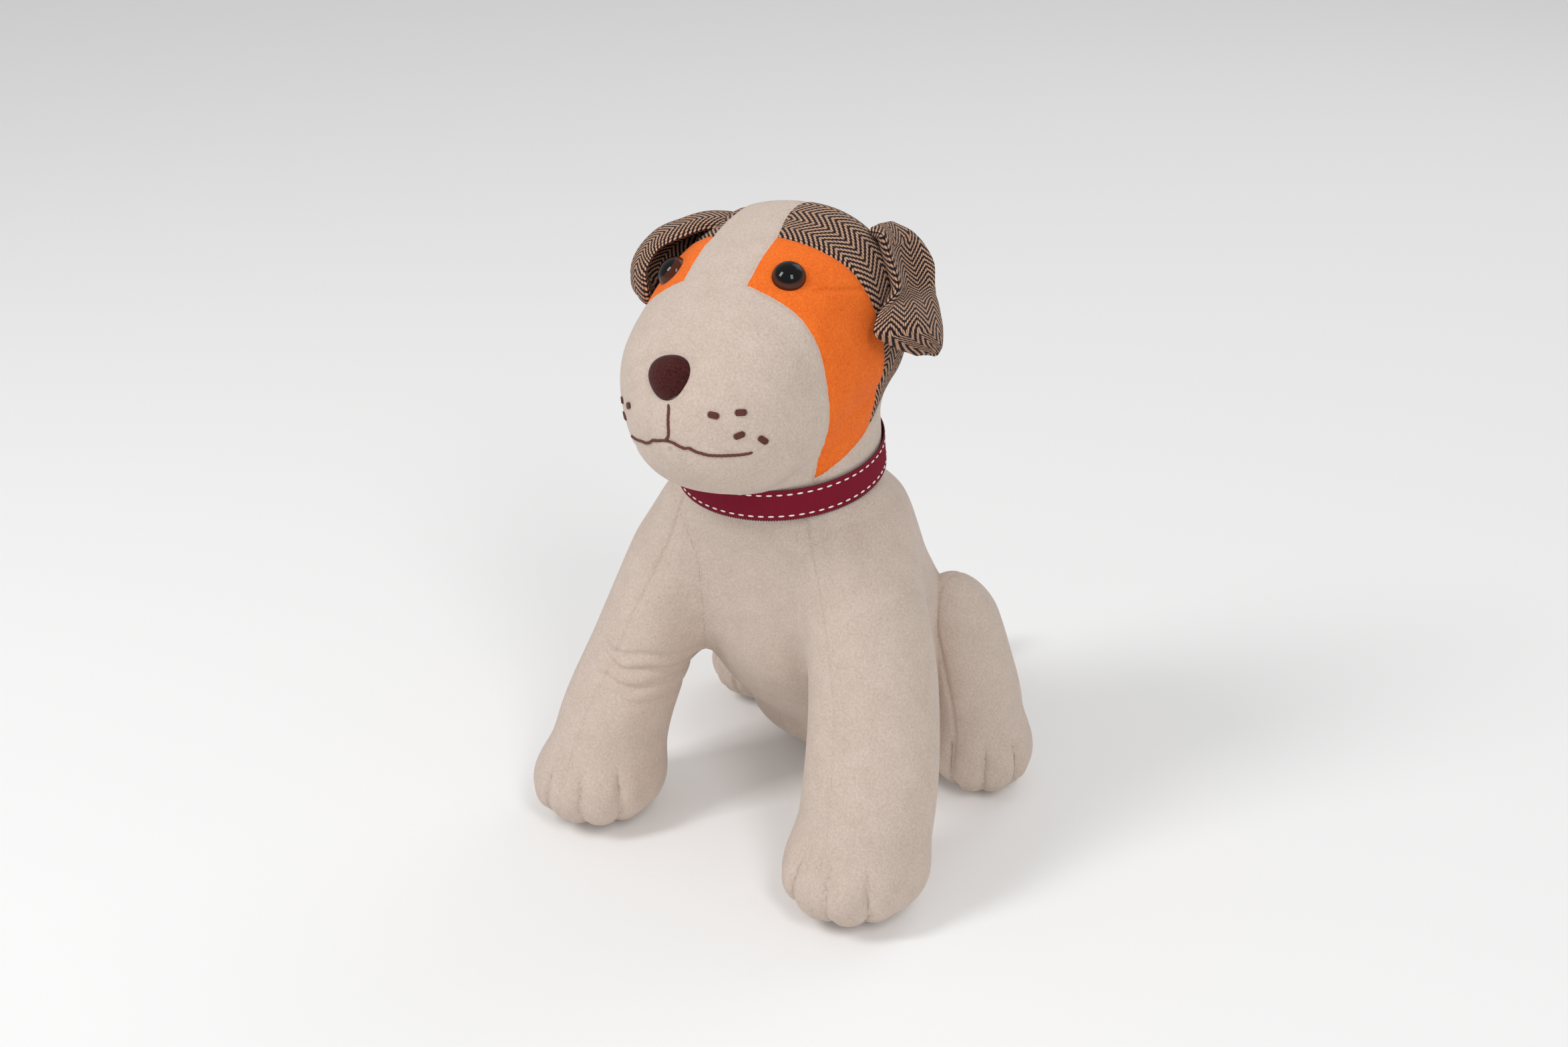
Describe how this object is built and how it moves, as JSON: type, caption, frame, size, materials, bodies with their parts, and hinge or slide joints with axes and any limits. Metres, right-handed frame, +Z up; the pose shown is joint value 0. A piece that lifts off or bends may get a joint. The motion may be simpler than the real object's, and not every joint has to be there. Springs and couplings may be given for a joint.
{
  "type": "plush dog",
  "caption": "Seated stuffed toy dog with splayed front legs, folded woven ears, button eyes, a flocked nose, stitched mouth and a ribbon collar.",
  "frame": {"origin": "on the floor, in the middle of the object's bounding box", "axes": "+Z up; the dog faces -Y; its left side is +X"},
  "size_m": [0.2212, 0.2928, 0.3236],
  "materials": {
    "cream_plush": "short-pile plush, cream, matt",
    "orange_plush": "short-pile plush, orange, matt",
    "herringbone_tweed": "woven herringbone, beige and dark brown yarns",
    "stuffing": "white polyester fibre fill",
    "pouch_cloth": "plain woven inner bag filled with pellets",
    "collar_ribbon": "burgundy grosgrain ribbon with cross ribs",
    "white_thread": "white running stitches woven along the ribbon edges",
    "brown_thread": "dark brown satin stitch",
    "cream_thread": "cream sewing thread pulled tight over the toes",
    "eye_plastic": "polished black dome with a dark brown ring",
    "washer_plastic": "white moulded lock washer",
    "nose_flock": "dark brown flocked nose"
  },
  "bodies": {
    "torso": {"base_panel": "cream_plush", "chest_panel": "cream_plush", "side_panel_left": "cream_plush", "side_panel_right": "cream_plush", "body_stuffing": "stuffing", "weight_pouch": "pouch_cloth", "collar_ribbon": "collar_ribbon", "collar_stitching_upper": "white_thread", "collar_stitching_lower": "white_thread", "collar_overlap": "collar_ribbon"},
    "neck": {"neck_stuffing": "stuffing"},
    "head": {"muzzle_panel": "cream_plush", "chin_panel": "cream_plush", "eye_patch_left": "orange_plush", "eye_patch_right": "orange_plush", "crown_panel_left": "herringbone_tweed", "crown_panel_right": "herringbone_tweed", "head_stuffing": "stuffing", "eye_left": "eye_plastic", "eye_right": "eye_plastic", "eye_washer_left": "washer_plastic", "eye_washer_right": "washer_plastic", "nose_button": "nose_flock", "nose_washer": "washer_plastic", "mouth_embroidery": "brown_thread", "freckle_stitches": "brown_thread"},
    "ear_left": {"ear_left_outer_panel": "herringbone_tweed", "ear_left_inner_panel": "herringbone_tweed"},
    "ear_right": {"ear_right_outer_panel": "herringbone_tweed", "ear_right_inner_panel": "herringbone_tweed"},
    "tail": {"tail_cover": "cream_plush", "tail_stuffing": "stuffing"},
    "front_leg_left": {"front_leg_left_outer_panel": "cream_plush", "front_leg_left_inner_panel": "cream_plush", "front_leg_left_sole": "cream_plush", "front_leg_left_stuffing": "stuffing", "front_leg_left_toe_stitches": "cream_thread"},
    "front_leg_right": {"front_leg_right_outer_panel": "cream_plush", "front_leg_right_inner_panel": "cream_plush", "front_leg_right_sole": "cream_plush", "front_leg_right_stuffing": "stuffing", "front_leg_right_toe_stitches": "cream_thread"},
    "hind_leg_left": {"hind_leg_left_outer_panel": "cream_plush", "hind_leg_left_inner_panel": "cream_plush", "hind_leg_left_sole": "cream_plush", "hind_leg_left_stuffing": "stuffing", "hind_leg_left_toe_stitches": "cream_thread"},
    "hind_leg_right": {"hind_leg_right_outer_panel": "cream_plush", "hind_leg_right_inner_panel": "cream_plush", "hind_leg_right_sole": "cream_plush", "hind_leg_right_stuffing": "stuffing", "hind_leg_right_toe_stitches": "cream_thread"}
  },
  "joints": [
    {"name": "head_turn", "type": "hinge", "parent": "torso", "child": "neck", "pos_m": [0, -0.054, 0.214], "axis": [0, -0.1392, 0.9903], "range_deg": [-25, 25], "stiffness_Nm_per_rad": 4},
    {"name": "head_nod", "type": "hinge", "parent": "neck", "child": "head", "pos_m": [0, -0.054, 0.214], "axis": [1, 0, 0], "range_deg": [-8, 8], "stiffness_Nm_per_rad": 8},
    {"name": "ear_left_lift", "type": "hinge", "parent": "head", "child": "ear_left", "pos_m": [0.0345, -0.053, 0.3111], "axis": [-0.1607, -0.9638, -0.2126], "range_deg": [0, 55], "stiffness_Nm_per_rad": 0.15},
    {"name": "ear_right_lift", "type": "hinge", "parent": "head", "child": "ear_right", "pos_m": [-0.05237, -0.04997, 0.29733], "axis": [-0.1525, 0.9748, 0.163], "range_deg": [0, 55], "stiffness_Nm_per_rad": 0.15},
    {"name": "front_leg_left_swing", "type": "hinge", "parent": "torso", "child": "front_leg_left", "pos_m": [0.0515, -0.061, 0.146], "axis": [1, 0, 0], "range_deg": [-9, 3], "stiffness_Nm_per_rad": 12},
    {"name": "front_leg_right_swing", "type": "hinge", "parent": "torso", "child": "front_leg_right", "pos_m": [-0.0515, -0.061, 0.146], "axis": [1, 0, 0], "range_deg": [-9, 3], "stiffness_Nm_per_rad": 12},
    {"name": "hind_leg_left_swing", "type": "hinge", "parent": "torso", "child": "hind_leg_left", "pos_m": [0.052, 0.028, 0.07], "axis": [1, 0, 0], "range_deg": [-10, 10], "stiffness_Nm_per_rad": 8},
    {"name": "hind_leg_right_swing", "type": "hinge", "parent": "torso", "child": "hind_leg_right", "pos_m": [-0.052, 0.028, 0.07], "axis": [1, 0, 0], "range_deg": [-10, 10], "stiffness_Nm_per_rad": 8},
    {"name": "tail_wag", "type": "hinge", "parent": "torso", "child": "tail", "pos_m": [0, 0.099, 0.03], "axis": [0, 0, 1], "range_deg": [-20, 20], "stiffness_Nm_per_rad": 0.3}
  ]
}
